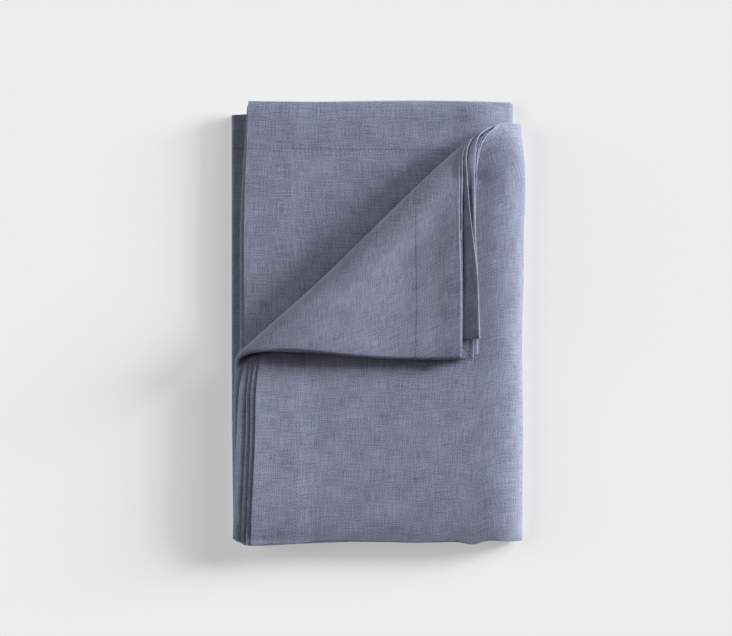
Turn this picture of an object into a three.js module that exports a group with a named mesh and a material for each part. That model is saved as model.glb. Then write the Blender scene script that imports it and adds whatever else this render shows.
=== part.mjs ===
// A plain linen tablecloth, folded into a flat packet that lies on a table.
// The long side of the packet lies along Y and its round folds are at +X. The far left corner of its
// upper layers is turned back over a slanting crease, so that the layers below it show there.
// Lengths are in millimetres. The origin is under the middle of the packet, on the table's surface.

import * as THREE from "three";
import { mergeVertices } from "three/addons/utils/BufferGeometryUtils.js";

// The cloth. One layer here stands for two or three plies of thin linen.
const CLOTH_THICKNESS = 1.1;
const LAYER_PITCH = 1.6;

// Where each layer of the packet ends, from the lowest layer to the top one. The near end is at -Y and
// the far end at +Y. left gives X at the near and the far end. far and near give Y on the left and right.
const LAYERS = [
  { left: [-122.6, -124.0], far: [176.2, 165.0], near: [-182.0, -182.4] },
  { left: [-122.6, -124.0], far: [176.8, 165.6], near: [-182.0, -182.6] },
  { left: [-121.8, -123.6], far: [177.2, 166.2], near: [-181.8, -182.8] },
  { left: [-121.8, -123.6], far: [177.6, 166.8], near: [-182.2, -183.0] },
  { left: [-121.0, -123.2], far: [178.0, 167.4], near: [-182.4, -183.0] },
  { left: [-121.0, -123.2], far: [178.4, 186.0], near: [-182.2, -182.6] },
  { left: [-119.0, -112.4], far: [185.6, 187.0], near: [-182.6, -182.8] },
  { left: [-119.0, -112.4], far: [186.2, 187.7], near: [-182.8, -182.8] },
  { left: [-114.2, -110.0], far: [186.9, 185.8], near: [-183.0, -183.0] },
  { left: [-123.4, -110.4], far: [172.4, 162.0], near: [-182.0, -183.2] },
  { left: [-123.4, -110.4], far: [173.8, 163.4], near: [-182.8, -183.4] },
  { left: [-118.0, -101.6], far: [172.8, 164.8], near: [-183.8, -183.6] },
  { left: [-118.0, -101.6], far: [174.2, 166.2], near: [-185.0, -183.8] },
  { left: [-107.8, -91.0], far: [174.8, 168.4], near: [-187.7, -184.0] },
];
const FIRST_INNER_LAYER = 5;
const FIRST_TURNED_LAYER = 9;

// The layers that one strip of cloth passes through, from the hemmed end on the top face to the hemmed
// end on the packet below. It goes to the right along the first, back along the second, and so on.
const PATH = [13, 0, 1, 12, 11, 2, 3, 10, 9, 4, 5, 6, 7, 8];

// The round folds at the right. The outer ones wrap the inner packet, which has tight folds of its own.
const RIGHT_EDGE = 121.8;
const RIGHT_BULGE = 2.3;
const RIGHT_BULGE_Y = 120;
const RIGHT_BULGE_LENGTH = 75;
const WRAP_LENGTH = 15;
const WRAP_SQUARENESS = 0.86;
const INNER_RIGHT_EDGE = [109.6, 111.6];

// The turned corner. The crease runs from its start towards +X and +Y. The cloth rolls over it on a
// radius that grows along the crease, because the far end of the roll isn't pressed down.
const CREASE_START = new THREE.Vector2(-105.2, -26.1);
const CREASE_ANGLE = THREE.MathUtils.degToRad(41.7);
const ROLL_RADIUS = [1, 7];
const ROLL_GROWTH = [50, 230];
const ROLL_HEIGHT_SHARE = 0.65;
const ROLL_SLACK = 1.25;
const FLAP_GAP = 0.5;
const FLAP_SETTLE_LENGTH = 78;

// How uneven the packet lies. SWELL and NEAR_PRESS are shares of its height: it swells and sinks softly
// along X and Y, and is pressed down at its near edge. That edge also runs in waves.
const SWELL = 0.02;
const SWELL_LENGTH = new THREE.Vector2(295, 446);
const SWELL_SHIFT = new THREE.Vector2(28, -28);
const NEAR_PRESS = 0.1;
const NEAR_PRESS_LENGTH = 18;
const NEAR_WAVE = 0.8;
const NEAR_WAVES = 1.8;

// How finely the cloth is divided.
const STEPS_ACROSS_TURNED = 13;
const STEP_CROWDING = 0.64;
const STEPS_ACROSS_FLAT = 3;
const STEPS_IN_WRAP = 6;
const STEPS_IN_TIGHT_FOLD = 3;
const ROWS_BEFORE_ROLL = 5;
const ROWS_IN_ROLL = 7;
const ROWS_PAST_ROLL = [0.15, 0.35, 0.55, 0.77, 1];
const LEAST_ROW_SHARE = 0.0016;
const FITTING_ROUNDS = 5;

const ROWS = ROWS_BEFORE_ROLL + ROWS_IN_ROLL + ROWS_PAST_ROLL.length + 1;
const HALF_THICKNESS = CLOTH_THICKNESS / 2;
const STACK_HEIGHT = (LAYERS.length - 1) * LAYER_PITCH + CLOTH_THICKNESS;
const CREASE = new THREE.Vector2(Math.cos(CREASE_ANGLE), Math.sin(CREASE_ANGLE));
const ACROSS_CREASE = new THREE.Vector2(CREASE.y, -CREASE.x);

const { lerp, smoothstep } = THREE.MathUtils;

// The height of the middle of a layer.
const heightOf = (layer) => HALF_THICKNESS + layer * LAYER_PITCH;

// The right edge of the packet, which bulges a little towards the far end.
function rightEdgeAt(y) {
  const offset = (y - RIGHT_BULGE_Y) / RIGHT_BULGE_LENGTH;
  return RIGHT_EDGE + RIGHT_BULGE * Math.exp(-offset * offset);
}

// Whether a layer joins another over a wrap at the right. The rest join over a tight fold.
const isWrapped = (layer) => layer < FIRST_INNER_LAYER || layer >= FIRST_TURNED_LAYER;

// How many wraps lie outside the one that a layer belongs to.
const wrapsOutside = (layer) => Math.min(layer, LAYERS.length - 1 - layer);

// The stations along the strip. Each gives its place between two layers, and which of the runs, wraps
// or tight folds it is part of.
function stationsAlongPath() {
  const stations = [];
  PATH.forEach((layer, run) => {
    const goesRight = run % 2 === 0;
    const steps = layer >= FIRST_TURNED_LAYER ? STEPS_ACROSS_TURNED : STEPS_ACROSS_FLAT;
    for (let step = 0; step <= steps; step += 1) {
      const share = goesRight ? step / steps : 1 - step / steps;
      stations.push({ from: layer, to: layer, turn: 0, across: share ** STEP_CROWDING });
    }
    if (run === PATH.length - 1) return;
    const next = PATH[run + 1];
    const turnSteps = goesRight && isWrapped(layer) ? STEPS_IN_WRAP : STEPS_IN_TIGHT_FOLD;
    for (let step = 1; step < turnSteps; step += 1) {
      stations.push({ from: layer, to: next, turn: step / turnSteps, across: goesRight ? 1 : 0 });
    }
  });
  return stations;
}

// The X at which a layer's flat run ends on the right and its fold begins.
function runEndRight(layer, y, lengthwise) {
  if (isWrapped(layer)) return rightEdgeAt(y) - HALF_THICKNESS - WRAP_LENGTH;
  return lerp(...INNER_RIGHT_EDGE, lengthwise) - HALF_THICKNESS - LAYER_PITCH / 2;
}

// The X at which a layer's flat run ends on the left. The two hemmed ends have no fold there.
function runEndLeft(layer, lengthwise) {
  const edge = lerp(...LAYERS[layer].left, lengthwise);
  const isHemmedEnd = layer === PATH[0] || layer === PATH[PATH.length - 1];
  return isHemmedEnd ? edge : edge + HALF_THICKNESS + LAYER_PITCH / 2;
}

// Where a station lies in plan at a share of the way from the near edge to the far one, before the
// corner is turned. Its X is the end of the flat run where the station is part of a fold.
function planAt(station, lengthwise) {
  const mix = (1 - Math.cos(Math.PI * station.turn)) / 2;
  const a = LAYERS[station.from];
  const b = LAYERS[station.to];
  const near = lerp(lerp(...a.near, station.across), lerp(...b.near, station.across), mix);
  const far = lerp(lerp(...a.far, station.across), lerp(...b.far, station.across), mix);
  const wave = NEAR_WAVE * Math.sin(2 * Math.PI * NEAR_WAVES * station.across);
  const y = lerp(near + wave * (1 - lengthwise), far, lengthwise);
  const left = lerp(runEndLeft(station.from, lengthwise), runEndLeft(station.to, lengthwise), mix);
  const right = runEndRight(station.from, y, lengthwise);
  return new THREE.Vector2(lerp(left, right, station.across), y);
}

// The middle of the cloth at a station, in the flat packet.
function middleAt(station, lengthwise) {
  const plan = planAt(station, lengthwise);
  const lower = heightOf(station.from);
  const upper = heightOf(station.to);
  if (station.turn === 0) return new THREE.Vector3(plan.x, plan.y, lower);
  const angle = Math.PI * station.turn;
  const middle = (lower + upper) / 2;
  const half = (upper - lower) / 2;
  if (station.across === 0) {
    const reach = (LAYER_PITCH / 2) * Math.sin(angle);
    return new THREE.Vector3(plan.x - reach, plan.y, middle - half * Math.cos(angle));
  }
  const wraps = isWrapped(station.from) && isWrapped(station.to);
  const length = wraps ? WRAP_LENGTH - wrapsOutside(station.from) * LAYER_PITCH : LAYER_PITCH / 2;
  const power = wraps ? WRAP_SQUARENESS : 1;
  const reach = length * Math.sin(angle) ** power;
  const rise = Math.sign(Math.cos(angle)) * Math.abs(Math.cos(angle)) ** power;
  return new THREE.Vector3(plan.x + reach, plan.y, middle - half * rise);
}

// The distance of a point past the crease, which is positive on the side that stays flat.
function pastCrease(point) {
  return (point.x - CREASE_START.x) * ACROSS_CREASE.x + (point.y - CREASE_START.y) * ACROSS_CREASE.y;
}

function alongCrease(point) {
  return (point.x - CREASE_START.x) * CREASE.x + (point.y - CREASE_START.y) * CREASE.y;
}

// The inner radius of the roll at a distance along the crease.
const rollRadiusAt = (along) => lerp(...ROLL_RADIUS, smoothstep(along, ...ROLL_GROWTH));

// How deep below the top face the strip lies at a station. Two layers that share a fold bend as one.
function bendDepth(station) {
  const layer = station.from;
  const ownDepth = STACK_HEIGHT - heightOf(layer);
  if (layer === LAYERS.length - 1 || layer < FIRST_TURNED_LAYER) return ownDepth;
  const isLowerOfPair = (layer - FIRST_TURNED_LAYER) % 2 === 0;
  return ownDepth + (isLowerOfPair ? -LAYER_PITCH : LAYER_PITCH) / 2;
}

// The length of cloth that the roll takes up at a distance along the crease.
const rollLengthAt = (along, depth) => Math.PI * (ROLL_SLACK * rollRadiusAt(along) + depth);

// The shares of the way from the near edge to the far one at which a station's rows lie. They follow
// the crease, so that the roll is even in every layer. Rows past the far edge are packed against it.
function rowsAt(station) {
  const pastNear = pastCrease(planAt(station, 0));
  const fall = pastNear - pastCrease(planAt(station, 1));
  const atCrease = pastNear / fall;
  const depth = bendDepth(station);
  const sharePastCrease = (rollPart, settlePart) => {
    let share = atCrease;
    for (let round = 0; round < FITTING_ROUNDS; round += 1) {
      const rollLength = rollLengthAt(alongCrease(planAt(station, share)), depth);
      share = atCrease + (rollPart * rollLength + settlePart * FLAP_SETTLE_LENGTH) / fall;
    }
    return share;
  };
  const shares = [];
  for (let row = 0; row < ROWS_BEFORE_ROLL; row += 1) shares.push((atCrease * row) / ROWS_BEFORE_ROLL);
  for (let row = 0; row <= ROWS_IN_ROLL; row += 1) shares.push(sharePastCrease(row / ROWS_IN_ROLL, 0));
  ROWS_PAST_ROLL.forEach((part) => shares.push(sharePastCrease(1, part)));
  shares.push(1);
  return shares.map((share, row) => Math.min(share, 1 - (ROWS - row) * LEAST_ROW_SHARE));
}

// Raises and lowers the whole packet a little. What rests on the surface stays flat on it.
function swell(point) {
  const across = Math.sin((2 * Math.PI * (point.x + SWELL_SHIFT.x)) / SWELL_LENGTH.x);
  const lengthwise = Math.cos((2 * Math.PI * (point.y + SWELL_SHIFT.y)) / SWELL_LENGTH.y);
  const fromNear = Math.max(point.y - LAYERS[0].near[0], 0);
  const press = NEAR_PRESS * Math.exp(-fromNear / NEAR_PRESS_LENGTH);
  point.z *= 1 + SWELL * across * lengthwise - press;
}

// Rolls a point of the turned layers over the crease. depth is the depth at which its layer bends.
function turnCorner(point, depth) {
  const turned = -pastCrease(point);
  if (turned <= 0) return;
  const along = alongCrease(point);
  const radius = rollRadiusAt(along);
  const ownDepth = STACK_HEIGHT - point.z;
  const rollLength = rollLengthAt(along, depth);
  const angle = Math.PI * Math.min(turned / rollLength, 1);
  const inFlap = Math.max(turned - rollLength, 0);
  const rise = (ROLL_HEIGHT_SHARE * radius + ownDepth) * (1 - Math.cos(angle));
  const drop = (2 * ROLL_HEIGHT_SHARE * radius - FLAP_GAP) * smoothstep(inFlap, 0, FLAP_SETTLE_LENGTH);
  const newPast = inFlap - (radius + ownDepth) * Math.sin(angle);
  point.z += rise - drop;
  point.x = CREASE_START.x + along * CREASE.x + newPast * ACROSS_CREASE.x;
  point.y = CREASE_START.y + along * CREASE.y + newPast * ACROSS_CREASE.y;
}

// The direction through the cloth at each station of a row, square to the mean way the cloth runs there.
function facingsOf(middles) {
  const last = middles.length - 1;
  return middles.map((middle, i) => {
    const before = new THREE.Vector3().subVectors(middle, middles[Math.max(i - 1, 0)]).setY(0);
    const after = new THREE.Vector3().subVectors(middles[Math.min(i + 1, last)], middle).setY(0);
    const way = before.normalize().add(after.normalize()).normalize();
    return new THREE.Vector3(-way.z, 0, way.x);
  });
}

// The folded cloth: a flat sheet whose points are carried to their places in the folds.
function foldedCloth() {
  const stations = stationsAlongPath();
  const rowShares = stations.map(rowsAt);
  const rows = [];
  for (let row = 0; row <= ROWS; row += 1) {
    const middles = stations.map((station, i) => middleAt(station, rowShares[i][row]));
    rows.push({ middles, facings: facingsOf(middles) });
  }
  const columns = stations.length - 1;
  const sheet = new THREE.BoxGeometry(1, 1, 1, columns, ROWS, 1);
  sheet.deleteAttribute("normal");
  sheet.deleteAttribute("uv");
  const position = sheet.getAttribute("position");
  const point = new THREE.Vector3();
  for (let i = 0; i < position.count; i += 1) {
    const column = Math.round((position.getX(i) + 0.5) * columns);
    const row = Math.round((position.getY(i) + 0.5) * ROWS);
    const side = Math.sign(position.getZ(i)) * HALF_THICKNESS;
    point.copy(rows[row].middles[column]).addScaledVector(rows[row].facings[column], side);
    if (stations[column].from >= FIRST_TURNED_LAYER && stations[column].to >= FIRST_TURNED_LAYER) {
      turnCorner(point, bendDepth(stations[column]));
    }
    swell(point);
    position.setXYZ(i, point.x, point.y, point.z);
  }
  const folded = mergeVertices(sheet, 1e-4);
  folded.computeVertexNormals();
  return folded;
}

const linen = new THREE.MeshStandardMaterial({ color: 0x767a8e, roughness: 0.9, metalness: 0 });

const tablecloth = new THREE.Mesh(foldedCloth(), linen);
tablecloth.name = "tablecloth";

const model = new THREE.Group();
model.add(tablecloth);

export default model;
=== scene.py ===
import math

import bpy
import numpy as np
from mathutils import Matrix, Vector


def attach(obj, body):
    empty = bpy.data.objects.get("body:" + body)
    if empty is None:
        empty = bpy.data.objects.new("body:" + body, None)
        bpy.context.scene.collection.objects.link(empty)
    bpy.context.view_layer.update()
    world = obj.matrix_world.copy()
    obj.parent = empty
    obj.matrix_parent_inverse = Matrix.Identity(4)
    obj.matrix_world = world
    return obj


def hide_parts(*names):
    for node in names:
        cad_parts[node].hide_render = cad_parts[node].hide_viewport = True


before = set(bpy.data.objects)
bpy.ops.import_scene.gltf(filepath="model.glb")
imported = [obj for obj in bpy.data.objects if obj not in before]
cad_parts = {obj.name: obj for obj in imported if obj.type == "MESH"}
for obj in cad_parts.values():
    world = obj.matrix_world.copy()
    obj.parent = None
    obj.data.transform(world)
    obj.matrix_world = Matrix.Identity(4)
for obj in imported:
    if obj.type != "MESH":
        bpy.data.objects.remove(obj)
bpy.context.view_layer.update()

# A plain linen tablecloth of 150 by 200 cm. It is one sheet, folded in four across its width and in
# eight along its length, and lies on a table. The far left corner of its upper panels is turned back.
# Lengths are in millimetres up to the mesh, which is in metres. X goes right and Y to the far side.
MM = 0.001

# The cloth: its flat width and length, in metres and in millimetres, its plies, and its hems with the
# length over which their thickness ends.
FLAT_SIZE = (1.5, 2.0)
FLAT_WIDTH, FLAT_LENGTH = (side / MM for side in FLAT_SIZE)
PLY_PITCH = 0.69
PLY_THICKNESS = 0.46
HEM_WIDTH = 40
HEM_THICKNESS = 0.62
HEM_STEP_LENGTH = 2

# Each hem at the left raises what lies on it, and the very edges of the far hems bend down a little.
HEM_LIFT = 0.1
HEM_LIFT_EDGES = (-71, -57)
HEM_DROOP = 0.45

# The eight panels, in the order in which the cloth runs through them: to the right along the first,
# back along the second, and so on. level is the panel's place in the stack, from 0 at the bottom.
TOP, BOTTOM, SECOND, LINING, FLAP, THIRD, INNER_LOWER, INNER_UPPER = range(8)
PANELS = {
    TOP: dict(level=7, columns=46, hemmed=True, turned=True),
    BOTTOM: dict(level=0, columns=8, hemmed=False, turned=False),
    SECOND: dict(level=1, columns=6, hemmed=False, turned=False),
    LINING: dict(level=6, columns=26, hemmed=False, turned=True),
    FLAP: dict(level=5, columns=46, hemmed=False, turned=True),
    THIRD: dict(level=2, columns=6, hemmed=False, turned=False),
    INNER_LOWER: dict(level=3, columns=10, hemmed=False, turned=False),
    INNER_UPPER: dict(level=4, columns=36, hemmed=True, turned=False),
}

# The columns of the grid round each fold between one panel and the next. In the turned panels a power
# gathers the columns a little towards the right.
FOLD_COLUMNS = [12, 6, 8, 8, 8, 5, 6]
COLUMN_GATHERING = 0.8

# The grid's steps in a hem, from the cloth's edge, and the size of a panel's run, to make them shares.
HEM_STEPS = [0, 1.5, 13, 26, 38.5, 40.5]
RUN_WIDTH = 215
RUN_LENGTH = 366

# Each panel has four plies. A panel that runs to the right stacks them 1, 4, 3, 2 from below, and one
# that runs to the left the other way up. Plies 1 and 2, and 3 and 4, join at the near edge. Plies 2 and
# 3 join at the far edge, where 1 and 4 end in hems.
PLIES = 4
PLY_ORDER = {1: 0, 4: 1, 3: 2, 2: 3}
NEAR_PARTNER = {1: 2, 2: 1, 3: 4, 4: 3}
LAST_SLOT = PLIES * len(PANELS) - 1
STACK_HEIGHT = LAST_SLOT * PLY_PITCH + PLY_THICKNESS

# Each ply's rows before, in and past the corner's roll. Those before it bunch up at both ends of their
# stretch, and a power gathers those past it towards the far end, where they keep a least distance.
PLY_ROWS = {1: (10, 16, 28), 2: (42, 16, 18), 3: (7, 9, 7), 4: (7, 9, 7)}
ROW_BUNCHING = 0.5
ROW_GATHERING = {1: 1.6, 2: 1.6, 3: 2.6, 4: 2.6}
LEAST_ROW_SHARE = 0.0008
ROW_SAMPLES = 500

# The rows round each fold between one ply and the next, and how far such a fold bulges at most.
EDGE_FOLD_ROWS = [5, 4, 5]
LARGEST_EDGE_FOLD = 3

# Where folds and hemmed ends stop on the left: X from the near end to the far end, at equal steps. The
# plies are listed from the outermost one, and the others nest inside it.
LEFT_EDGES = [
    dict(panels=(TOP,), plies=(1,),
         edge=[-122.6, -121.2, -119.4, -116.2, -104.0, -98.0, -97.5, -98.3, -99.7]),
    dict(panels=(TOP,), plies=(4,),
         edge=[-115.7, -113.8, -111.7, -110.4, -101.0, -96.0, -95.5, -96.0, -96.5]),
    dict(panels=(TOP,), plies=(3,),
         edge=[-111.5, -109.8, -107.6, -107.0, -99.0, -95.0, -94.5, -95.5, -96.5]),
    dict(panels=(TOP,), plies=(2,),
         edge=[-107.7, -105.8, -103.8, -102.6, -96.0, -93.5, -93.5, -94.5, -95.3]),
    dict(panels=(BOTTOM, SECOND), plies=(2, 3, 4, 1), edge=[-122.4, -123.6, -124.0, -124.0, -124.0]),
    dict(panels=(LINING, FLAP), plies=(1, 4),
         edge=[-121.8, -121.9, -122.0, -121.9, -121.5, -119.8,
               -113.0, -111.0, -110.8, -110.6, -109.8, -108.9]),
    dict(panels=(LINING, FLAP), plies=(3, 2), edge=[-119.0, -117.5, -110.0, -101.0, -93.2]),
    dict(panels=(THIRD, INNER_LOWER), plies=(2, 3, 4, 1), edge=[-119.0, -118.0, -117.0, -116.6, -111.0]),
    dict(panels=(INNER_UPPER,), plies=(1,), edge=[-114.2, -113.8, -113.3, -113.1, -109.6]),
    dict(panels=(INNER_UPPER,), plies=(4,), edge=[-113.6, -113.4, -112.8, -112.2, -109.2]),
    dict(panels=(INNER_UPPER,), plies=(3, 2), edge=[-113.0, -112.8, -112.4, -111.4, -108.8]),
]

# Where the plies stop at the far side: Y from left to right, at equal steps.
FAR_EDGES = [
    dict(panels=(TOP,), plies=(1,), edge=[171.8, 171.0, 167.0, 163.5, 163.0]),
    dict(panels=(TOP,), plies=(4,), edge=[174.8, 174.0, 169.0, 165.0, 164.5]),
    dict(panels=(TOP,), plies=(2, 3), edge=[175.4, 173.6, 168.6, 165.5, 168.3]),
    dict(panels=(BOTTOM, SECOND, THIRD), plies=(1, 2, 3, 4), edge=[175.8, 178.0, 175.0, 170.0, 166.0]),
    dict(panels=(LINING,), plies=(1, 4), edge=[168.0, 166.0, 163.0, 161.0, 161.0]),
    dict(panels=(LINING,), plies=(2, 3), edge=[187.0, 183.2, 177.2, 171.6, 166.5]),
    dict(panels=(FLAP,), plies=(1,), edge=[169.8, 168.8, 164.2, 160.4, 158.5]),
    dict(panels=(FLAP,), plies=(4,), edge=[170.6, 169.6, 166.6, 162.4, 160.0]),
    dict(panels=(FLAP,), plies=(2, 3), edge=[186.6, 183.0, 173.0, 164.8, 162.5]),
    dict(panels=(INNER_LOWER,), plies=(1, 4), edge=[184.0, 184.4, 185.0, 185.0, 184.0]),
    dict(panels=(INNER_LOWER,), plies=(2, 3), edge=[185.8, 186.6, 187.6, 187.6, 186.4]),
    dict(panels=(INNER_UPPER,), plies=(1,), edge=[186.9, 186.3, 185.6, 185.2, 185.0]),
    dict(panels=(INNER_UPPER,), plies=(4,), edge=[186.4, 186.0, 185.6, 185.4, 184.6]),
    dict(panels=(INNER_UPPER,), plies=(2, 3), edge=[186.2, 186.4, 187.0, 187.0, 186.2]),
]

# Where the plies fold at the near side: Y from left to right, at equal steps.
NEAR_EDGES = [
    dict(panels=(TOP,), plies=(1,), edge=[-182.0, -182.4, -182.6, -182.8, -182.6]),
    dict(panels=(TOP,), plies=(4,), edge=[-184.0, -183.4, -182.2, -182.2, -182.2]),
    dict(panels=(TOP,), plies=(3,), edge=[-186.0, -184.0, -182.2, -182.2, -182.2]),
    dict(panels=(TOP,), plies=(2,),
         edge=[-187.3, -187.2, -186.5, -185.6, -183.8, -182.9, -183.1, -183.4, -183.5,
               -183.8, -184.4, -184.5, -184.0, -183.6, -186.4, -182.6, -183.5]),
    dict(panels=(BOTTOM, SECOND), plies=(1, 2, 3, 4), edge=[-181.8, -182.6, -182.0, -182.8, -182.6]),
    dict(panels=(LINING, FLAP), plies=(1, 2, 3, 4), edge=[-182.4, -182.8, -182.0, -183.0, -182.4]),
    dict(panels=(THIRD, INNER_LOWER, INNER_UPPER), plies=(1, 2, 3, 4),
         edge=[-182.0, -182.2, -182.8, -182.4, -182.8]),
]

# The round folds on the right. Three wraps lie in each other, and go round the inner panels' tight fold.
RIGHT_EDGE = [121.2, 121.2, 121.6, 121.2, 120.8, 122.0, 122.4, 123.6, 119.8]
INNER_RIGHT_EDGE = [109.6, 109.8, 110.2, 110.8, 113.4]
WRAP_LENGTH = 15
WRAP_SQUARENESS = 0.86

# The turned corner. The cloth rolls over a slanting crease, and the roll's front, radius and height
# change along it. Each turned panel bends at the height of one slot of the stack.
CREASE_START = (-105.2, -26.1)
CREASE_ANGLE = math.radians(41.7)
CREASE_LENGTH = 280
CREASE = np.array([math.cos(CREASE_ANGLE), math.sin(CREASE_ANGLE)])
ACROSS_CREASE = np.array([CREASE[1], -CREASE[0]])
ROLL_FRONT = (1, 7)
ROLL_FRONT_GROWTH = (50, 230)
ROLL_RADIUS = [2.0, 4.0, 5.5, 6.5, 9.0, 12.0, 13.0, 12.0]
ROLL_HEIGHT = [2.0, 3.4, 4.2, 4.6, 4.8, 4.8, 4.6, 4.6]
ROLL_SLACK = 1.25
ROLL_END = (92, 112)
BEND_SLOT = {TOP: 30, LINING: 24, FLAP: 24}

# The flap slopes down to the right from its roll, and lies level past its hem. Its far end stays up.
FLAP_GAP = 0.5
FLAP_SLOPE_START = 8
FLAP_SLOPE_END = 22
FLAP_SLOPE_LEAST = 30
FLAP_RISE = 7.5
FLAP_RISE_ENDS = (-5, 115)
HEM_SETTLE_LENGTH = 30

# The flap's free right edges: X from the near to the far end, at equal steps. What lies at the lining's
# edge rises. All rims start past the roll, and fade out at the far end.
EDGE_ENDS = (-29, 165)
FLAP_EDGE = [68.3, 69.1, 68.9, 68.5, 67.6, 66.7, 66.8, 68.4, 80.0]
LINING_EDGE = [83.8, 83.7, 82.1, 80.3, 79.8, 79.6, 78.9, 80.7, 91.8]
LINING_RIM_HEIGHT = 2.2
LINING_RIM_LENGTH = 7
RIMS_START_LENGTH = 15
RIMS_END = (150, 165)

# How the flap's plies fan out. The four values are how far a ply rises up to the flap's edge, past it,
# and just before it at the near corner, and how much less it rises at the lining's edge there.
EDGE_FANS = {
    (FLAP, 1): (1.6, 0.0, 0.0, 0.0),
    (FLAP, 4): (0.9, 0.0, 0.0, 0.0),
    (FLAP, 3): (0.0, 1.4, 0.0, 0.0),
    (FLAP, 2): (0.0, 1.4, 0.0, 0.0),
    (TOP, 1): (0.0, 0.0, 0.9, 1.9),
    (TOP, 4): (0.0, 0.0, 0.3, 1.9),
    (TOP, 3): (0.0, 0.0, 0.0, 1.9),
    (TOP, 2): (0.0, 0.0, 0.0, 1.9),
}
NO_FAN = (0.0, 0.0, 0.0, 0.0)
FAN_TO_EDGE = (-25, 0)
FAN_PAST_EDGE = (1, 6)
FAN_AT_CORNER = (-8, 0)
NEAR_CORNER = (-18, -12)

# The far rims of the flap and the top panel curl up. In the turned corner they are its right edges.
RIM_CURL = {FLAP: {1: 0.3, 4: 0.7, 3: 0.8, 2: 0.8}, TOP: {1: 0.5, 4: 0.6}}
RIM_CURL_LENGTH = 2.5

# The left rims of the top panel's plies rise a little at the near end.
RIM_LIFT = 0.32
RIM_LIFT_EDGES = (-107, -87)
RIM_LIFT_END = (-60, -30)

# Soft swells of the whole packet, and how far its near and right edges are pressed down, as shares of
# its height. At the far end the right edge is pressed down more, and over a wider stretch.
SWELL = 0.02
SWELL_LENGTH = (295, 446)
SWELL_SHIFT = (28, -28)
NEAR_PRESS = 0.25
NEAR_PRESS_START = -182
NEAR_PRESS_LENGTH = 17
RIGHT_PRESS = 0.27
RIGHT_PRESS_EDGES = (91, 122)
FAR_PRESS = 0.7
FAR_PRESS_ENDS = (155, 182)
FAR_PRESS_WIDENING = 14

# A soft fold across the upper panels, on the right. Past it they lie a little higher.
CROSS_FOLD_HEIGHT = 2.6
CROSS_FOLD_X = (60, 78)
CROSS_FOLD_Y = (119, 129)

# Edges of the mesh that are sharper than this are shaded as edges.
SHARP_ANGLE = math.radians(60)

# The hem stitches, the least and most by which each one's size is multiplied, and the number of points
# along the mitre's seam.
STITCH_PITCH = 3.0
STITCH_LENGTH = 2.0
STITCH_WIDTH = 0.55
STITCH_FLATNESS = 0.55
STITCH_UNEVENNESS = ((0.85, 0.85, 0.85), (1.12, 1.15, 1.1))
STITCH_SEED = 7
MITRE_POINTS = 14

# The linen. Its noise scales are per millimetre, along and across the cloth.
YARN_PITCH = 0.7
WARP_SCALE = (1.1, 0.06, 1)
WEFT_SCALE = (0.05, 1.1, 1)
GRAIN_SCALE = (1.3, 1.3, 1)
GRAIN_WEIGHT = 2.0
MOTTLE_SCALE = (0.045, 0.045, 1)
MOTTLE_WEIGHT = 0.55
TONE_RANGE = (1.55, 2.95)
SLUB_SCALES = ((0.8, 0.035, 1), (0.035, 0.8, 1))
SLUB_RANGE = (0.76, 0.84)
WEAVE_RELIEF = 0.25
HEM_RELIEF = 1.4
HEM_RELIEF_LENGTH = 1.6
DARK_LINEN = (0.05, 0.056, 0.094)
LIGHT_LINEN = (0.32, 0.338, 0.46)
SLUB_COLOUR = (0.3, 0.32, 0.42)
# The thread's two colours, darker than the cloth: partly its own colour, partly painted shade of the dips
# where the stitches sink in.
DARK_THREAD_AND_SHADE = (0.07, 0.075, 0.11)
LIGHT_THREAD_AND_SHADE = (0.12, 0.13, 0.18)
THREAD_FIBRES = 2500

# The table top, in metres: half its side, and how far it lies under the cloth. Then its grey, and how
# strongly it glows of itself: painted light that keeps the shade round the cloth pale.
TABLE_HALF = 6.0
TABLE_DROP = 0.0002
TABLE_GREY = (0.48, 0.48, 0.48, 1)
TABLE_PAINTED_GLOW = 0.385

# Three soft lamps: their strength, and in degrees how far they spread, their height and direction. They
# stand LAMP_DISTANCE metres away, in a dim room.
LAMPS = {
    "low light from the far right": (6.9, 16, 13.5, 20),
    "higher light from the far right": (1.6, 20, 23, 40),
    "fill light from the left": (1.5, 40, 28, 170),
}
LAMP_DISTANCE = 2
SKY_LIGHT = 0.015
BACKDROP = (0.86, 0.86, 0.86, 1)

# The photograph's frame: its width in pixels, the length of one pixel at the height of VIEW_PLANE, and
# where its middle lies. VIEW_RANGE, which is how far the camera sees, is in metres.
PHOTO_WIDTH = 732
PIXEL = 0.84
VIEW_CENTRE = (-10.7, 4.6)
VIEW_HEIGHT = 4000
VIEW_PLANE = 18
SENSOR_WIDTH = 36
VIEW_RANGE = 20


def share_between(value, start, end):
    """How far a value has come from start to end, from 0 to 1."""
    return np.clip((value - start) / (end - start), 0, 1)


def smooth_step(value, start, end):
    """0 before start, 1 past end, and a soft rise between them."""
    share = share_between(value, start, end)
    return share * share * (3 - 2 * share)


def smooth_curve(values, share):
    """A smooth curve through values at equal steps, read at a share of its length."""
    knots = np.asarray(values, float)
    last = len(knots) - 1
    place = np.clip(np.asarray(share, float), 0, 1) * last
    i = np.minimum(place.astype(int), last - 1)
    t = place - i
    slopes = np.gradient(knots)
    a, b = knots[i], knots[i + 1]
    da, db = slopes[i], slopes[i + 1]
    return (
        (2 * t**3 - 3 * t**2 + 1) * a
        + (t**3 - 2 * t**2 + t) * da
        + (3 * t**2 - 2 * t**3) * b
        + (t**3 - t**2) * db
    )


def runs_right(panel):
    """Whether the cloth runs to the right in a panel."""
    return panel % 2 == 0


def slot_of(panel, ply):
    """A ply's place in the stack, from 0 at the bottom to LAST_SLOT at the top."""
    order = PLY_ORDER[ply] if runs_right(panel) else PLIES - 1 - PLY_ORDER[ply]
    return PLIES * PANELS[panel]["level"] + order


def height_of(panel, ply):
    """The height of the middle of a ply."""
    return PLY_THICKNESS / 2 + slot_of(panel, ply) * PLY_PITCH


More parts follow.
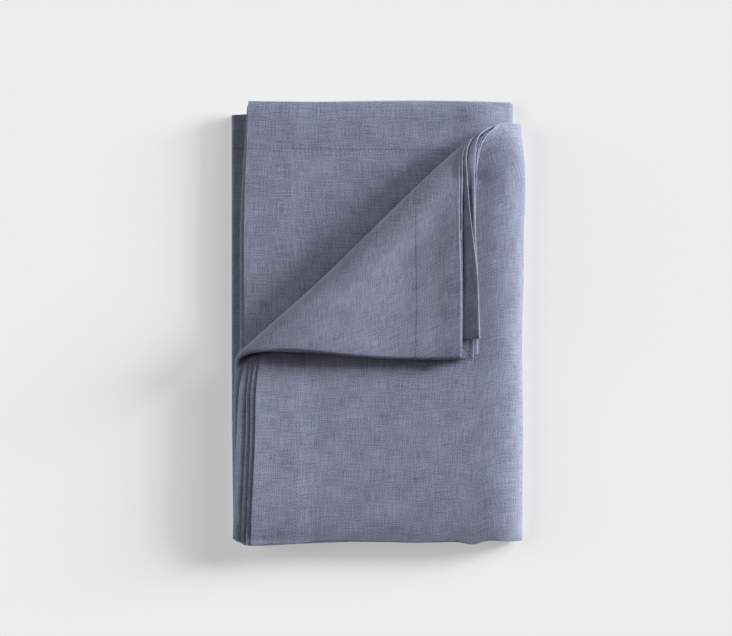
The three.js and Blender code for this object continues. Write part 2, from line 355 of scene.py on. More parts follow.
def edge_row(table, panel, ply):
    """The row of an edge table that holds a ply, and how many plies of that row lie outside it."""
    for row in table:
        if panel in row["panels"] and ply in row["plies"]:
            return row["edge"], row["plies"].index(ply)
    raise KeyError((panel, ply))


def left_run_end(panel, ply, lengthwise):
    """The X at which a ply's flat run ends on the left. A folded ply then goes round its fold."""
    edge, outside = edge_row(LEFT_EDGES, panel, ply)
    x = smooth_curve(edge, lengthwise)
    if PANELS[panel]["hemmed"]:
        return x
    partner = panel + 1 if panel in (BOTTOM, LINING, THIRD) else panel - 1
    half = abs(height_of(panel, ply) - height_of(partner, ply)) / 2
    return x + outside * PLY_PITCH + half + PLY_THICKNESS / 2


def right_run_end(panel, lengthwise):
    """The X at which a panel's flat run ends on the right, where its wrap or tight fold begins."""
    if panel in (INNER_LOWER, INNER_UPPER):
        return smooth_curve(INNER_RIGHT_EDGE, lengthwise) - PLIES * PLY_PITCH
    return smooth_curve(RIGHT_EDGE, lengthwise) - PLY_THICKNESS / 2 - WRAP_LENGTH


def near_run_end(panel, ply, across):
    """The Y at which a ply's flat run ends at the near side, where its fold begins."""
    half = abs(PLY_ORDER[ply] - PLY_ORDER[NEAR_PARTNER[ply]]) / 2 * PLY_PITCH
    return smooth_curve(edge_row(NEAR_EDGES, panel, ply)[0], across) + half + PLY_THICKNESS / 2


def far_run_end(panel, ply, across):
    """The Y at which a ply's flat run ends at the far side: at its hem, or where its fold begins."""
    edge = smooth_curve(edge_row(FAR_EDGES, panel, ply)[0], across)
    return edge - (PLY_PITCH + PLY_THICKNESS) / 2 if ply in (2, 3) else edge


def hem_lift(panel, ply, x):
    """How far the thick hems at the left raise a ply: its own, and those below it."""
    hems = 0
    if PANELS[panel]["hemmed"]:
        hems += slot_of(panel, ply) % PLIES + 1
    if PANELS[panel]["level"] > PANELS[INNER_UPPER]["level"]:
        hems += PLIES
    return hems * HEM_LIFT * (1 - smooth_step(x, *HEM_LIFT_EDGES))


def rim_lift(panel, ply, x, y):
    """How far the free left rims of the top panel curl up. Each ply adds to the one below it."""
    rims = slot_of(panel, ply) % PLIES + 1 if panel == TOP else 0
    near = 1 - smooth_step(y, *RIM_LIFT_END)
    return rims * RIM_LIFT * near * (1 - smooth_step(x, *RIM_LIFT_EDGES))


def columns_of_cloth():
    """The grid's columns: the panels before and after, the share of the fold between, and of the width."""
    columns = []
    for panel, facts in PANELS.items():
        shares = np.linspace(0, 1, facts["columns"] + 1)
        if facts["turned"]:
            shares = shares**COLUMN_GATHERING
        if facts["hemmed"]:
            hem = np.array(HEM_STEPS) / RUN_WIDTH
            shares = np.concatenate([hem, hem[-1] + (1 - hem[-1]) * shares[1:]])
        if not runs_right(panel):
            shares = shares[::-1]
        columns += [(panel, panel, 0.0, share) for share in shares]
        if panel < len(PANELS) - 1:
            steps = FOLD_COLUMNS[panel]
            side = 1.0 if runs_right(panel) else 0.0
            columns += [(panel, panel + 1, step / steps, side) for step in range(1, steps)]
    return columns


def point_on_ply(column, ply, lengthwise):
    """The middle of the cloth in a column of the flat packet, at shares from the near to the far end."""
    before, after, turn, across = column
    mix = (1 - math.cos(math.pi * turn)) / 2
    near = near_run_end(before, ply, across) * (1 - mix) + near_run_end(after, ply, across) * mix
    far = far_run_end(before, ply, across) * (1 - mix) + far_run_end(after, ply, across) * mix
    y = near + (far - near) * lengthwise
    left = left_run_end(before, ply, lengthwise) * (1 - mix) + left_run_end(after, ply, lengthwise) * mix
    right = right_run_end(before, lengthwise)
    x = left + (right - left) * across
    z_before = height_of(before, ply) + hem_lift(before, ply, x) + rim_lift(before, ply, x, y)
    z_after = height_of(after, ply) + hem_lift(after, ply, x) + rim_lift(after, ply, x, y)
    if turn == 0:
        return np.stack([x, y, z_before], -1)
    middle, half = (z_before + z_after) / 2, (z_after - z_before) / 2
    angle = math.pi * turn
    if across == 0:
        reach = abs(height_of(before, ply) - height_of(after, ply)) / 2
        return np.stack([x - reach * math.sin(angle), y, middle - half * math.cos(angle)], -1)
    highest = max(slot_of(before, ply), slot_of(after, ply))
    wraps = before != INNER_LOWER
    reach = WRAP_LENGTH - (LAST_SLOT - highest) * PLY_PITCH if wraps else np.max(np.abs(half))
    power = WRAP_SQUARENESS if wraps else 1
    side = reach * math.sin(angle) ** power
    rise = math.copysign(abs(math.cos(angle)) ** power, math.cos(angle))
    return np.stack([x + side, y, middle - half * rise], -1)


def past_crease(point):
    """How far points lie past the crease, square to it."""
    return (point[..., :2] - CREASE_START) @ ACROSS_CREASE


def along_crease(point):
    """How far along the crease points lie."""
    return (point[..., :2] - CREASE_START) @ CREASE


def roll_front(along):
    """How far the roll's front lies past the crease line, less the depth of the cloth in it."""
    return ROLL_FRONT[0] + (ROLL_FRONT[1] - ROLL_FRONT[0]) * smooth_step(along, *ROLL_FRONT_GROWTH)


def roll_radius(along):
    """How far the hollow of the roll reaches out, level with the cloth."""
    return smooth_curve(ROLL_RADIUS, along / CREASE_LENGTH)


def roll_height(along):
    """Half the height of the hollow of the roll."""
    return smooth_curve(ROLL_HEIGHT, along / CREASE_LENGTH)


def bend_depth(panel):
    """The depth at which a panel bends. The flap and its lining share folds, so they bend as one."""
    return STACK_HEIGHT - BEND_SLOT[panel] * PLY_PITCH


def roll_length(along, depth):
    """The length of cloth in the roll."""
    set_back = roll_radius(along) - roll_front(along)
    return math.pi * (ROLL_SLACK * roll_front(along) + depth) + 2 * set_back


def length_turned(point):
    """How far points of the flat packet lie past the line where the roll begins."""
    along = along_crease(point)
    return roll_radius(along) - roll_front(along) - past_crease(point)


def flap_height(place, roll_top):
    """How far the flap's stack hangs clear of what is under it, past the roll."""
    x, y = place[..., 0], place[..., 1]
    past_roll = past_crease(place) / ACROSS_CREASE[0] - FLAP_SLOPE_START
    slope_length = np.maximum(FLAP_SLOPE_END - x + past_roll, FLAP_SLOPE_LEAST)
    level = FLAP_GAP + FLAP_RISE * share_between(y, *FLAP_RISE_ENDS)
    return roll_top + (level - roll_top) * smooth_step(past_roll / slope_length, 0, 1)


def edge_rims(place, fan):
    """How far the flap's layers rise apart from each other towards their free right edges."""
    x, y = place[..., 0], place[..., 1]
    share = share_between(y, *EDGE_ENDS)
    past_flap, past_lining = x - smooth_curve(FLAP_EDGE, share), x - smooth_curve(LINING_EDGE, share)
    corner = 1 - smooth_step(y, *NEAR_CORNER)
    rise = (LINING_RIM_HEIGHT - fan[..., 3] * corner) * smooth_step(past_lining, -LINING_RIM_LENGTH, 0)
    rise += fan[..., 0] * smooth_step(past_flap, *FAN_TO_EDGE)
    rise += fan[..., 1] * smooth_step(past_flap, *FAN_PAST_EDGE)
    rise += fan[..., 2] * smooth_step(past_flap, *FAN_AT_CORNER) * corner
    return rise * (1 - smooth_step(y, *RIMS_END))


def turn_corner(point, depth, fan):
    """Rolls the points past the crease over it, and lets the flap beyond settle down."""
    along = along_crease(point)
    turned = np.maximum(length_turned(point), 0) * (1 - smooth_step(point[..., 0], *ROLL_END))
    radius, height = roll_radius(along), roll_height(along)
    lift = hem_lift(TOP, 2, point[..., 0])
    own_depth = STACK_HEIGHT + lift - point[..., 2]
    length = roll_length(along, depth)
    angle = math.pi * np.minimum(turned / length, 1)
    in_flap = np.maximum(turned - length, 0)
    shift = turned + in_flap - (radius + own_depth) * np.sin(angle)
    point[..., :2] += np.where(turned > 0, shift, 0)[..., None] * ACROSS_CREASE
    drop = 2 * height - flap_height(point, 2 * height) + lift * smooth_step(in_flap, 0, HEM_SETTLE_LENGTH)
    rims = edge_rims(point, fan) * smooth_step(in_flap, 0, RIMS_START_LENGTH)
    rise = (height + own_depth) * (1 - np.cos(angle))
    point[..., 2] += rise + np.where(in_flap > 0, rims - drop, 0)


def swell(point):
    """Raises and lowers the packet softly, presses its edges down and lays the fold across it."""
    x, y, z = point[..., 0], point[..., 1], point[..., 2]
    across = np.sin(2 * math.pi * (x + SWELL_SHIFT[0]) / SWELL_LENGTH[0])
    lengthwise = np.cos(2 * math.pi * (y + SWELL_SHIFT[1]) / SWELL_LENGTH[1])
    from_near = np.maximum(y - NEAR_PRESS_START, 0)
    far = smooth_step(y, *FAR_PRESS_ENDS)
    to_right = share_between(x, RIGHT_PRESS_EDGES[0] - FAR_PRESS_WIDENING * far, RIGHT_PRESS_EDGES[1])
    press = NEAR_PRESS * np.exp(-from_near / NEAR_PRESS_LENGTH)
    press += (RIGHT_PRESS + FAR_PRESS * far) * to_right**2
    upper = smooth_step(z, height_of(INNER_UPPER, 2), height_of(LINING, 2))
    cross = CROSS_FOLD_HEIGHT * smooth_step(y, *CROSS_FOLD_Y) * smooth_step(x, *CROSS_FOLD_X) * upper
    point[..., 2] = z * (1 + SWELL * across * lengthwise - press) + cross


def row_shares(panel, column, ply):
    """The shares from the near to the far end at which a column's rows lie on one ply."""
    before, inside, past = PLY_ROWS[ply]
    count = before + inside + past
    if not PANELS[panel]["turned"]:
        if ply not in (1, 4):
            return np.linspace(0, 1, count + 1)
        hem = 1 - np.array(HEM_STEPS[::-1]) / RUN_LENGTH
        return np.concatenate([np.linspace(0, hem[0], count + 2 - len(hem)), hem[1:]])
    run = (panel, panel, 0.0, column[3])
    shares = np.linspace(0, 1, ROW_SAMPLES)
    place = point_on_ply(run, ply, shares)
    rolled = length_turned(place) / roll_length(along_crease(place), bend_depth(panel))
    at_crease = np.interp(0, rolled, shares)
    in_roll = np.interp(np.linspace(0, 1, inside + 1), rolled, shares)
    steps = np.arange(before) / before
    bunched = steps - ROW_BUNCHING * np.sin(2 * math.pi * steps) / (2 * math.pi)
    result = np.concatenate([
        at_crease * bunched,
        in_roll,
        1 - (1 - in_roll[-1]) * np.linspace(1, 0, past + 1)[1:] ** ROW_GATHERING[ply],
    ])
    return np.minimum(result, 1 - (count - np.arange(count + 1)) * LEAST_ROW_SHARE)


def fan_of(before, after, turn, ply):
    """How far a ply fans out at the flap's free edges, in a panel or in the fold between two."""
    start = np.array(EDGE_FANS.get((before, ply), NO_FAN))
    end = np.array(EDGE_FANS.get((after, ply), NO_FAN))
    return start + (end - start) * turn


def rim_curl(column, ply, run):
    """How far a ply's free far rim curls up at each point of its run."""
    before, after, _, across = column
    curl = RIM_CURL.get(before, {}).get(ply, 0) if before == after else 0
    from_end = far_run_end(before, ply, across) - run[:, 1]
    return curl * np.exp(-((from_end / RIM_CURL_LENGTH) ** 2))


def edge_fold(ply, start, end):
    """The fold from the end of a ply to the start of the next, and how far along it each point lies."""
    steps = EDGE_FOLD_ROWS[ply - 1]
    angle = math.pi * np.arange(1, steps) / steps
    mix = (1 - np.cos(angle))[:, None] / 2
    fold = start + (end - start) * mix
    side = 1 if ply == 2 else -1
    reach = min(np.hypot(*(end - start)[[0, 2]]), LARGEST_EDGE_FOLD)
    fold[:, 1] += side * np.sin(angle) * reach / 2
    return fold, mix


def cloth_column(column):
    """One column of the cloth, from the far hem of ply 1 to the far hem of ply 4, in its place."""
    before, after, turn, _ = column
    points, curls, fans = [], [], []
    for ply in PLY_ROWS:
        shares = row_shares(before, column, ply) * (1 - turn) + row_shares(after, column, ply) * turn
        run = point_on_ply(column, ply, shares[::-1] if ply in (1, 3) else shares)
        fan = fan_of(before, after, turn, ply)
        if points:
            fold, mix = edge_fold(ply - 1, points[-1][-1], run[0])
            points.append(fold)
            curls.append(np.full(len(fold), curls[-1][-1]))
            fans.append(fans[-1][0] + (fan - fans[-1][0]) * mix)
        points.append(run)
        curls.append(rim_curl(column, ply, run))
        fans.append(np.tile(fan, (len(run), 1)))
    points = np.concatenate(points)
    if PANELS[before]["turned"] and PANELS[after]["turned"]:
        turn_corner(points, bend_depth(before), np.concatenate(fans))
        points[:, 2] += np.concatenate(curls)
    swell(points)
    points[[0, -1], 2] -= HEM_DROOP
    return points


def unit(vectors):
    """The vectors at a length of 1."""
    return vectors / np.maximum(np.linalg.norm(vectors, axis=-1, keepdims=True), 1e-9)


def mean_way(points, axis):
    """The mean direction of the cloth along one axis of the grid, from each point's two neighbours."""
    steps = unit(np.diff(points, axis=axis))
    first = np.take(steps, [0], axis)
    last = np.take(steps, [-1], axis)
    return unit(np.concatenate([first, steps], axis) + np.concatenate([steps, last], axis))


def running_share(points, axis):
    """How far along the cloth each point lies on one axis of the grid, from 0 to 1, and its length."""
    steps = np.linalg.norm(np.diff(points, axis=axis), axis=-1)
    total = np.concatenate([np.zeros_like(np.take(steps, [0], axis)), np.cumsum(steps, axis)], axis)
    return total / np.take(total, [-1], axis), float(np.take(total, [-1], axis).mean())


def build_grid():
    """The middle of the cloth, the way its outer side faces, and each point's place on the flat cloth."""
    columns = columns_of_cloth()
    middle = np.stack([cloth_column(column) for column in columns])
    facing = unit(np.cross(mean_way(middle, 0), mean_way(middle, 1)))
    lengthwise, length = running_share(middle, 0)
    widthwise, width = running_share(middle, 1)
    print(f"cloth runs {length:.0f} by {width:.0f} mm over {middle.shape[0]} by {middle.shape[1]} points")
    return columns, middle, facing, np.stack([lengthwise, widthwise], -1)


def ply_thickness(place):
    """The cloth's thickness, which is more in the hems."""
    to_end = np.minimum(place[..., 0], 1 - place[..., 0]) * FLAT_LENGTH
    to_side = np.minimum(place[..., 1], 1 - place[..., 1]) * FLAT_WIDTH
    half_step = HEM_STEP_LENGTH / 2
    in_hem = 1 - smooth_step(np.minimum(to_end, to_side), HEM_WIDTH - half_step, HEM_WIDTH + half_step)
    return PLY_THICKNESS + (HEM_THICKNESS - PLY_THICKNESS) * in_hem


def sheet_mesh(name, middle, facing, place):
    """The cloth as one closed sheet with two sides and a thin edge."""
    across, down = middle.shape[:2]
    half = facing * ply_thickness(place)[..., None] / 2
    points = np.concatenate([(middle + half).reshape(-1, 3), (middle - half).reshape(-1, 3)]) * MM
    index = np.arange(across * down).reshape(across, down)
    back = index + across * down
    a, b, c, d = index[:-1, :-1], index[1:, :-1], index[1:, 1:], index[:-1, 1:]
    front_faces = np.stack([a, b, c, d], -1).reshape(-1, 4)
    back_faces = np.stack([a, d, c, b], -1).reshape(-1, 4) + across * down
    rim = np.concatenate([index[:, 0], index[-1, 1:], index[-2::-1, -1], index[0, -2:0:-1]])
    rim_back = back.reshape(-1)[rim]
    rim_faces = np.stack([np.roll(rim, -1), rim, rim_back, np.roll(rim_back, -1)], -1)
    faces = np.concatenate([front_faces, back_faces, rim_faces])
    mesh = bpy.data.meshes.new(name)
    mesh.from_pydata(points.tolist(), [], faces.tolist())
    uv = mesh.uv_layers.new(name="cloth")
    corners = np.empty(len(mesh.loops), int)
    mesh.loops.foreach_get("vertex_index", corners)
    uv.data.foreach_set("uv", place.reshape(-1, 2)[corners % (across * down)].astype(np.float32).ravel())
    mesh.shade_smooth()
    mesh.set_sharp_from_angle(angle=SHARP_ANGLE)
    mesh.update()
    return mesh


def add_object(name, mesh):
    """A new object in the scene, at the origin."""
    piece = bpy.data.objects.new(name, mesh)
    bpy.context.scene.collection.objects.link(piece)
    return piece


# Shader node helpers

def new_material(name):
    """An empty node material and its Principled shader."""
    material = bpy.data.materials.new(name)
    material.use_nodes = True
    nodes = material.node_tree.nodes
    nodes.clear()
    shader = nodes.new("ShaderNodeBsdfPrincipled")
    output = nodes.new("ShaderNodeOutputMaterial")
    material.node_tree.links.new(shader.outputs["BSDF"], output.inputs["Surface"])
    return material, shader


def noise(tree, coordinates, scale, detail):
    """A noise texture's value at the given coordinates."""
    node = tree.nodes.new("ShaderNodeTexNoise")
    node.inputs["Scale"].default_value = scale
    node.inputs["Detail"].default_value = detail
    tree.links.new(coordinates, node.inputs["Vector"])
    return node.outputs["Fac"]


def stretched(tree, coordinates, scale):
    """The coordinates scaled along each axis."""
    node = tree.nodes.new("ShaderNodeMapping")
    node.inputs["Scale"].default_value = scale
    tree.links.new(coordinates, node.inputs["Vector"])
    return node.outputs["Vector"]


def math_node(tree, operation, a, b=None, c=None):
    """One math node. Each operand is a number or a socket."""
    node = tree.nodes.new("ShaderNodeMath")
    node.operation = operation
    for socket, value in zip(node.inputs, (a, b, c)):
        if value is None:
            continue
        if isinstance(value, (int, float)):
            socket.default_value = value
        else:
            tree.links.new(value, socket)
    return node.outputs[0]


def ramp(tree, value, low, high, to_low=0.0, to_high=1.0):
    """A value carried from one range to another, and kept inside it."""
    node = tree.nodes.new("ShaderNodeMapRange")
    node.inputs["From Min"].default_value = low
    node.inputs["From Max"].default_value = high
    node.inputs["To Min"].default_value = to_low
    node.inputs["To Max"].default_value = to_high
    tree.links.new(value, node.inputs["Value"])
    return node.outputs["Result"]


def mix_colour(tree, factor, a, b):
    """One colour mix. Each colour is a tuple or a socket."""
    node = tree.nodes.new("ShaderNodeMix")
    node.data_type = "RGBA"
    for socket, value in ((node.inputs[0], factor), (node.inputs[6], a), (node.inputs[7], b)):
        if isinstance(value, (int, float)):
            socket.default_value = value
        elif isinstance(value, tuple):
            socket.default_value = (*value, 1)
        else:
            tree.links.new(value, socket)
    return node.outputs[2]


def linen_weave_group():
    """Plain linen with uneven yarns both ways, slubs, soft mottling and a step at its hems."""
    tree = bpy.data.node_groups.new("linen weave", "ShaderNodeTree")
    face = tree.interface
    face.new_socket("Cloth Place", in_out="INPUT", socket_type="NodeSocketVector")
    yarn_input = face.new_socket("Yarn Pitch", in_out="INPUT", socket_type="NodeSocketFloat")
    yarn_input.default_value = YARN_PITCH
    face.new_socket("Tone", in_out="OUTPUT", socket_type="NodeSocketFloat")
    face.new_socket("Slubs", in_out="OUTPUT", socket_type="NodeSocketFloat")
    face.new_socket("Height", in_out="OUTPUT", socket_type="NodeSocketFloat")
    start = tree.nodes.new("NodeGroupInput")
    end = tree.nodes.new("NodeGroupOutput")
    place = start.outputs["Cloth Place"]
    pitch = start.outputs["Yarn Pitch"]

    warp = noise(tree, stretched(tree, place, WARP_SCALE), 1.0, 2.0)
    weft = noise(tree, stretched(tree, place, WEFT_SCALE), 1.0, 2.0)
    grain = noise(tree, stretched(tree, place, GRAIN_SCALE), 1.0, 1.0)
    mottle = noise(tree, stretched(tree, place, MOTTLE_SCALE), 1.0, 3.0)
    yarns = math_node(tree, "ADD", warp, weft)
    grained = math_node(tree, "MULTIPLY_ADD", grain, GRAIN_WEIGHT, yarns)
    tone = math_node(tree, "MULTIPLY_ADD", mottle, MOTTLE_WEIGHT, grained)
    tree.links.new(ramp(tree, tone, *TONE_RANGE), end.inputs["Tone"])

    thick_yarns = [noise(tree, stretched(tree, place, scale), 1.0, 1.0) for scale in SLUB_SCALES]
    thickest = math_node(tree, "MAXIMUM", *thick_yarns)
    tree.links.new(ramp(tree, thickest, *SLUB_RANGE), end.inputs["Slubs"])

    parts = tree.nodes.new("ShaderNodeSeparateXYZ")
    tree.links.new(place, parts.inputs[0])
    waves = []
    for axis in ("X", "Y"):
        turns = math_node(tree, "DIVIDE", parts.outputs[axis], pitch)
        waves.append(math_node(tree, "SINE", math_node(tree, "MULTIPLY", turns, math.pi)))
    weave = math_node(tree, "MULTIPLY", *waves)
    height = math_node(tree, "MULTIPLY_ADD", weave, WEAVE_RELIEF, grained)
    to_edges = []
    for axis, size in (("X", FLAT_LENGTH), ("Y", FLAT_WIDTH)):
        to_other_edge = math_node(tree, "SUBTRACT", size, parts.outputs[axis])
        to_edges.append(math_node(tree, "MINIMUM", parts.outputs[axis], to_other_edge))
    to_edge = math_node(tree, "MINIMUM", *to_edges)
    half_step = HEM_RELIEF_LENGTH / 2
    hem = ramp(tree, to_edge, HEM_WIDTH - half_step, HEM_WIDTH + half_step, 1.0, 0.0)
    tree.links.new(math_node(tree, "MULTIPLY_ADD", hem, HEM_RELIEF, height), end.inputs["Height"])
    return tree


def linen_material(weave):
    """The dull blue grey linen. The weave follows the cloth through its folds."""
    material, shader = new_material("blue grey linen")
    tree = material.node_tree
    uv = tree.nodes.new("ShaderNodeUVMap")
    uv.uv_map = "cloth"
    place = stretched(tree, uv.outputs["UV"], (FLAT_LENGTH, FLAT_WIDTH, 1))
    group = tree.nodes.new("ShaderNodeGroup")
    group.node_tree = weave
    group.inputs["Yarn Pitch"].default_value = YARN_PITCH
    tree.links.new(place, group.inputs["Cloth Place"])
    colour = mix_colour(tree, group.outputs["Tone"], DARK_LINEN, LIGHT_LINEN)
    colour = mix_colour(tree, group.outputs["Slubs"], colour, SLUB_COLOUR)
    tree.links.new(colour, shader.inputs["Base Color"])
    bump = tree.nodes.new("ShaderNodeBump")
    bump.inputs["Strength"].default_value = 0.5
    bump.inputs["Distance"].default_value = 0.0002
    tree.links.new(group.outputs["Height"], bump.inputs["Height"])
    tree.links.new(bump.outputs["Normal"], shader.inputs["Normal"])
    shader.inputs["Roughness"].default_value = 0.92
    shader.inputs["Specular IOR Level"].default_value = 0.25
    shader.inputs["Sheen Weight"].default_value = 0.4
    shader.inputs["Sheen Tint"].default_value = (0.78, 0.85, 1, 1)
    shader.inputs["Sheen Roughness"].default_value = 0.5
    return material


def thread_material():
    """The sewing thread of the hems, a little darker than the cloth: partly the thread's own colour,
    partly painted shade of the dips where it sinks in.
    """
    material, shader = new_material("sewing thread")
    tree = material.node_tree
    place = tree.nodes.new("ShaderNodeTexCoord")
    fibres = noise(tree, place.outputs["Object"], THREAD_FIBRES, 1.0)
    # Painted shade: the darker thread also stands in for the dips where the stitches sink in.
    colour = mix_colour(tree, fibres, DARK_THREAD_AND_SHADE, LIGHT_THREAD_AND_SHADE)
    tree.links.new(colour, shader.inputs["Base Color"])
    shader.inputs["Roughness"].default_value = 0.7
    return material


# Hem stitches

def seam_line(grid, columns, rows):
    """Points on the outer side of the cloth where the given columns and rows, as fractions, cross it."""
    _, middle, facing, place = grid
    thickness = ply_thickness(place)
    points, ways = [], []
    for column, row in zip(columns, rows):
        i, j = int(column), int(row)
        s, t = column - i, row - j
        i2, j2 = min(i + 1, middle.shape[0] - 1), min(j + 1, middle.shape[1] - 1)

        def blend(values):
            near = values[i, j] * (1 - s) + values[i2, j] * s
            far = values[i, j2] * (1 - s) + values[i2, j2] * s
            return near * (1 - t) + far * t

        way = unit(blend(facing))
        points.append((blend(middle) + way * blend(thickness) / 2) * MM)
        ways.append(way)
    return np.array(points), np.array(ways)


def stitch_tree(thread):
    """Geometry nodes that sew a line: a thread stitch at each step along it."""
    tree = bpy.data.node_groups.new("hem stitches", "GeometryNodeTree")
    face = tree.interface
    face.new_socket("Line", in_out="INPUT", socket_type="NodeSocketGeometry")
    for name, value in (
        ("Stitch Pitch", STITCH_PITCH * MM),
        ("Stitch Length", STITCH_LENGTH * MM),
        ("Thread Width", STITCH_WIDTH * MM),
    ):
        socket = face.new_socket(name, in_out="INPUT", socket_type="NodeSocketFloat")
        socket.default_value = value
    face.new_socket("Stitches", in_out="OUTPUT", socket_type="NodeSocketGeometry")
    start = tree.nodes.new("NodeGroupInput")
    end = tree.nodes.new("NodeGroupOutput")
    link = tree.links.new

    curve = tree.nodes.new("GeometryNodeMeshToCurve")
    link(start.outputs["Line"], curve.inputs["Mesh"])
    steps = tree.nodes.new("GeometryNodeResampleCurve")
    steps.mode = "LENGTH"
    link(curve.outputs["Curve"], steps.inputs["Curve"])
    link(start.outputs["Stitch Pitch"], steps.inputs["Length"])

    stitch = tree.nodes.new("GeometryNodeMeshUVSphere")
    stitch.inputs["Segments"].default_value = 6
    stitch.inputs["Rings"].default_value = 4
    stitch.inputs["Radius"].default_value = 0.5

    facing = tree.nodes.new("GeometryNodeInputNamedAttribute")
    facing.data_type = "FLOAT_VECTOR"
    facing.inputs["Name"].default_value = "facing"
    tangent = tree.nodes.new("GeometryNodeInputTangent")
    lie = tree.nodes.new("FunctionNodeAlignRotationToVector")
    lie.axis = "Z"
    link(facing.outputs["Attribute"], lie.inputs["Vector"])
    point = tree.nodes.new("FunctionNodeAlignRotationToVector")
    point.axis = "X"
    point.pivot_axis = "Z"
    link(lie.outputs["Rotation"], point.inputs["Rotation"])
    link(tangent.outputs["Tangent"], point.inputs["Vector"])

    size = tree.nodes.new("ShaderNodeCombineXYZ")
    link(start.outputs["Stitch Length"], size.inputs["X"])
    link(start.outputs["Thread Width"], size.inputs["Y"])
    flat = tree.nodes.new("ShaderNodeMath")
    flat.operation = "MULTIPLY"
    flat.inputs[1].default_value = STITCH_FLATNESS
    link(start.outputs["Thread Width"], flat.inputs[0])
    link(flat.outputs[0], size.inputs["Z"])
    uneven = tree.nodes.new("FunctionNodeRandomValue")
    uneven.data_type = "FLOAT_VECTOR"
    uneven.inputs["Min"].default_value, uneven.inputs["Max"].default_value = STITCH_UNEVENNESS
    uneven.inputs["Seed"].default_value = STITCH_SEED
    sized = tree.nodes.new("ShaderNodeVectorMath")
    sized.operation = "MULTIPLY"
    link(size.outputs["Vector"], sized.inputs[0])
    link(uneven.outputs["Value"], sized.inputs[1])

    place = tree.nodes.new("GeometryNodeInstanceOnPoints")
    link(steps.outputs["Curve"], place.inputs["Points"])
    link(stitch.outputs["Mesh"], place.inputs["Instance"])
    link(point.outputs["Rotation"], place.inputs["Rotation"])
    link(sized.outputs["Vector"], place.inputs["Scale"])
    real = tree.nodes.new("GeometryNodeRealizeInstances")
    link(place.outputs["Instances"], real.inputs["Geometry"])
    finish = tree.nodes.new("GeometryNodeSetMaterial")
    finish.inputs["Material"].default_value = thread
    link(real.outputs["Geometry"], finish.inputs["Geometry"])
    link(finish.outputs["Geometry"], end.inputs["Stitches"])
    return tree


def sewn(name, lines, thread):
    """Stitches along the given lines, as one plain mesh."""
    points = np.concatenate([line[0] for line in lines])
    ways = np.concatenate([line[1] for line in lines])
    edges, start = [], 0
    for line in lines:
        count = len(line[0])
        edges += [(start + i, start + i + 1) for i in range(count - 1)]
        start += count
    mesh = bpy.data.meshes.new(name + " line")
    mesh.from_pydata(points.tolist(), edges, [])
    facing = mesh.attributes.new("facing", "FLOAT_VECTOR", "POINT")
    facing.data.foreach_set("vector", ways.astype(np.float32).ravel())
    line_object = add_object(name + " line", mesh)
    modifier = line_object.modifiers.new("stitches", "NODES")
    modifier.node_group = stitch_tree(thread)
    values = {"Stitch Pitch": STITCH_PITCH, "Stitch Length": STITCH_LENGTH, "Thread Width": STITCH_WIDTH}
    for item in modifier.node_group.interface.items_tree:
        if item.item_type == "SOCKET" and item.name in values:
            modifier[item.identifier] = values[item.name] * MM
    evaluated = line_object.evaluated_get(bpy.context.evaluated_depsgraph_get())
    result = bpy.data.meshes.new_from_object(evaluated)
    result.name = name
    bpy.data.objects.remove(line_object)
    result.shade_smooth()
    return add_object(name, result)


# The scene

def make_floor():
    """The plain pale table top, which glows a little of itself: painted light that keeps the shade round
    the cloth pale.
    """
    half, z = TABLE_HALF, -TABLE_DROP
    corners = [(-half, -half, z), (half, -half, z), (half, half, z), (-half, half, z)]
    mesh = bpy.data.meshes.new("table top")
    mesh.from_pydata(corners, [], [(0, 1, 2, 3)])
    floor = add_object("table_top", mesh)
    material, shader = new_material("pale table top with painted glow")
    shader.inputs["Base Color"].default_value = TABLE_GREY
    # Painted light: the table top glows of itself, though it is no lamp.
    shader.inputs["Emission Color"].default_value = (1, 1, 1, 1)
    shader.inputs["Emission Strength"].default_value = TABLE_PAINTED_GLOW
    shader.inputs["Roughness"].default_value = 1
    shader.inputs["Specular IOR Level"].default_value = 0
    mesh.materials.append(material)


def make_light():
    """Soft lamps round a dim room, in front of a pale backdrop."""
    world = bpy.data.worlds.new("studio")
    world.use_nodes = True
    tree = world.node_tree
    tree.nodes.clear()
    room = tree.nodes.new("ShaderNodeBackground")
    room.inputs["Strength"].default_value = SKY_LIGHT
    backdrop = tree.nodes.new("ShaderNodeBackground")
    backdrop.inputs["Color"].default_value = BACKDROP
    seen = tree.nodes.new("ShaderNodeLightPath")
    mix = tree.nodes.new("ShaderNodeMixShader")
    output = tree.nodes.new("ShaderNodeOutputWorld")
    tree.links.new(seen.outputs["Is Camera Ray"], mix.inputs["Fac"])
    tree.links.new(room.outputs["Background"], mix.inputs[1])
    tree.links.new(backdrop.outputs["Background"], mix.inputs[2])
    tree.links.new(mix.outputs["Shader"], output.inputs["Surface"])
    bpy.context.scene.world = world
    for name, (strength, spread, elevation, azimuth) in LAMPS.items():
        data = bpy.data.lights.new(name, "SUN")
        data.energy = strength
        data.angle = math.radians(spread)
        lamp = bpy.data.objects.new(name, data)
        height, turn = math.radians(elevation), math.radians(azimuth)
        level = math.cos(height)
        towards = Vector((level * math.cos(turn), level * math.sin(turn), math.sin(height)))
        lamp.rotation_euler = towards.to_track_quat("Z", "Y").to_euler()
        lamp.location = towards * LAMP_DISTANCE
        bpy.context.scene.collection.objects.link(lamp)


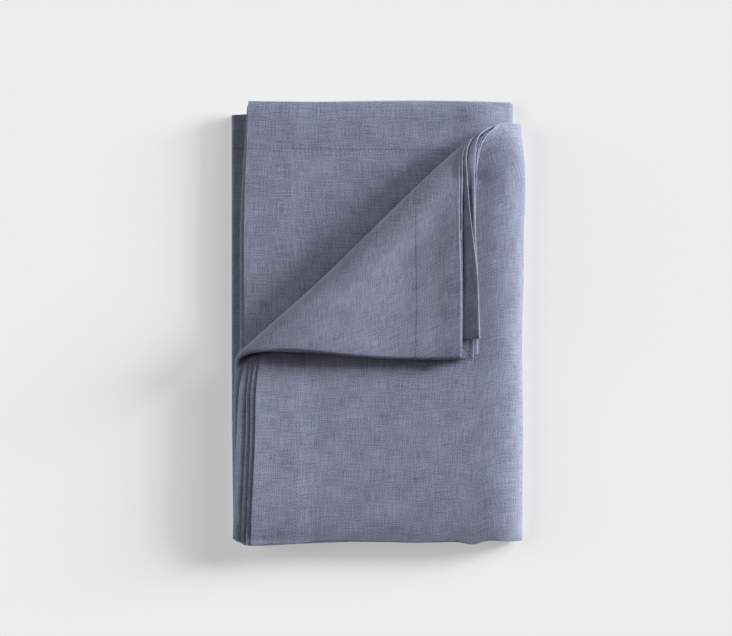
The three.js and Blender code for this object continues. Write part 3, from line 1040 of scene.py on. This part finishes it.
def make_camera():
    """A long lens that looks straight down."""
    data = bpy.data.cameras.new("camera")
    data.sensor_width = SENSOR_WIDTH
    data.lens = SENSOR_WIDTH * (VIEW_HEIGHT - VIEW_PLANE) / (PHOTO_WIDTH * PIXEL)
    data.clip_end = VIEW_RANGE
    camera = bpy.data.objects.new("camera", data)
    camera.location = (VIEW_CENTRE[0] * MM, VIEW_CENTRE[1] * MM, VIEW_HEIGHT * MM)
    bpy.context.scene.collection.objects.link(camera)
    bpy.context.scene.camera = camera


def columns_of_panel(columns, panel):
    """Where a panel's flat run lies among the grid's columns."""
    return [i for i, (before, after, _, _) in enumerate(columns) if before == after == panel]


def hem_seams(grid):
    """The sewn lines of the hems that show: two far hems, the left hem of the top face, and a mitre."""
    columns, middle, _, place = grid
    all_columns, all_rows = np.arange(middle.shape[0]), np.arange(middle.shape[1])
    lines = []
    for panel in (INNER_UPPER, FLAP):
        run = columns_of_panel(columns, panel)
        at = [np.interp(HEM_WIDTH / FLAT_WIDTH, place[i, :, 1], all_rows) for i in run]
        lines.append(seam_line(grid, run, at))
    first = sum(PLY_ROWS[1]) + EDGE_FOLD_ROWS[0]
    ply_2 = range(first, first + sum(PLY_ROWS[2]) + 1)
    at = [np.interp(HEM_WIDTH / FLAT_LENGTH, place[:, j, 0], all_columns) for j in ply_2]
    lines.append(seam_line(grid, at, ply_2))
    mitre = np.linspace(1, HEM_WIDTH, MITRE_POINTS)
    down = [np.interp(d / FLAT_WIDTH, place[0, :, 1], all_rows) for d in mitre]
    over = [np.interp(d / FLAT_LENGTH, place[:, 0, 0], all_columns) for d in mitre]
    lines.append(seam_line(grid, over, down))
    return lines


make_camera()
make_light()
make_floor()

grid = build_grid()
linen = linen_material(linen_weave_group())
cloth = add_object("folded_tablecloth", sheet_mesh("folded_tablecloth", *grid[1:]))
cloth.data.materials.append(linen)
stitches = sewn("hem_stitches", hem_seams(grid), thread_material())

for piece in (cloth, stitches):
    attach(piece, "root")
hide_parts("tablecloth")

bpy.context.scene.view_settings.view_transform = "Standard"
